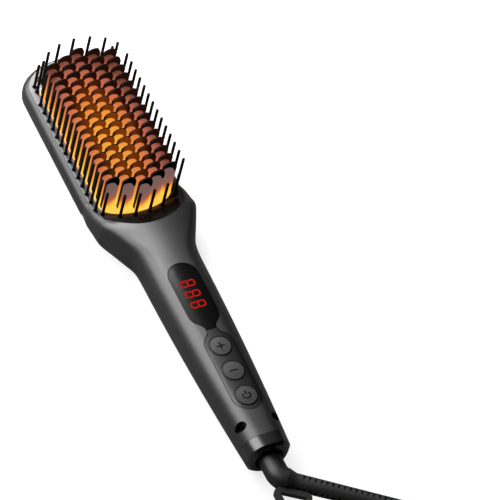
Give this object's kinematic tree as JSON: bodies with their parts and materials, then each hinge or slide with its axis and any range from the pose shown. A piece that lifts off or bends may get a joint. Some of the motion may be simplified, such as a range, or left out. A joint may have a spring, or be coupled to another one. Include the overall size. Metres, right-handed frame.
{
  "type": "hair straightening brush",
  "caption": "Corded heated paddle brush with staggered heating fins, cool guard pins, a display, three push buttons and a swivelling cord outlet with a hanging loop.",
  "frame": {"origin": "on the flat back, midway along the casing", "axes": "+Z out of the back along the bristles, +Y along the brush to the head tip, +X to the side that the cord outlet points to"},
  "size_m": [0.0912, 0.3285, 0.042],
  "materials": {
    "casing": "satin",
    "bed": "satin",
    "guard_pin": "matte",
    "heating_metal": "satin coated",
    "ceramic": "matte",
    "spring_steel": "brushed",
    "mica": "matte",
    "sensor": "satin",
    "black_box": "matte",
    "screw_steel": "blackened",
    "gloss_black": "gloss",
    "panel": "satin",
    "button": "satin",
    "circuit_board": "satin",
    "display": "gloss",
    "capacitor": "satin",
    "nylon": "satin",
    "elbow": "satin",
    "sleeve_rubber": "matte",
    "contact_brass": "satin"
  },
  "bodies": {
    "casing": {"front_shell": "casing", "back_shell": "casing", "bristle_bed": "bed", "ion_grille": "bed", "cool_pins": "guard_pin", "short_pins": "guard_pin", "heating_plate": "heating_metal", "heating_fins": "heating_metal", "ceramic_heater": "ceramic", "heater_clamp": "spring_steel", "mica_sheet": "mica", "thermal_fuse": "sensor", "heat_sensor": "sensor", "ion_generator": "black_box", "triac": "black_box", "tact_switches": "black_box", "head_screws": "screw_steel", "case_screws": "screw_steel", "board_screws": "screw_steel", "display_window": "gloss_black", "end_cap": "gloss_black", "button_panel": "panel", "control_board": "circuit_board", "power_board": "circuit_board", "display_module": "display", "capacitor": "capacitor", "swivel_bush": "nylon", "contact_carrier": "nylon", "contact_springs": "contact_brass"},
    "plus_key": {"plus_button": "button"},
    "minus_key": {"minus_button": "button"},
    "power_key": {"power_button": "button"},
    "cord_swivel": {"swivel_elbow": "elbow", "strain_relief": "sleeve_rubber", "hang_loop": "elbow", "slip_rings": "contact_brass"}
  },
  "joints": [
    {"name": "plus_press", "type": "slide", "parent": "casing", "child": "plus_key", "axis": [0, 0, -1], "range_m": [0, 0.0005], "stiffness_N_per_m": 600},
    {"name": "minus_press", "type": "slide", "parent": "casing", "child": "minus_key", "axis": [0, 0, -1], "range_m": [0, 0.0005], "stiffness_N_per_m": 600},
    {"name": "power_press", "type": "slide", "parent": "casing", "child": "power_key", "axis": [0, 0, -1], "range_m": [0, 0.0005], "stiffness_N_per_m": 600},
    {"name": "cord_swivel_turn", "type": "hinge", "parent": "casing", "child": "cord_swivel", "pos_m": [0, -0.13525, 0.012], "axis": [0, -1, 0], "continuous": true}
  ]
}
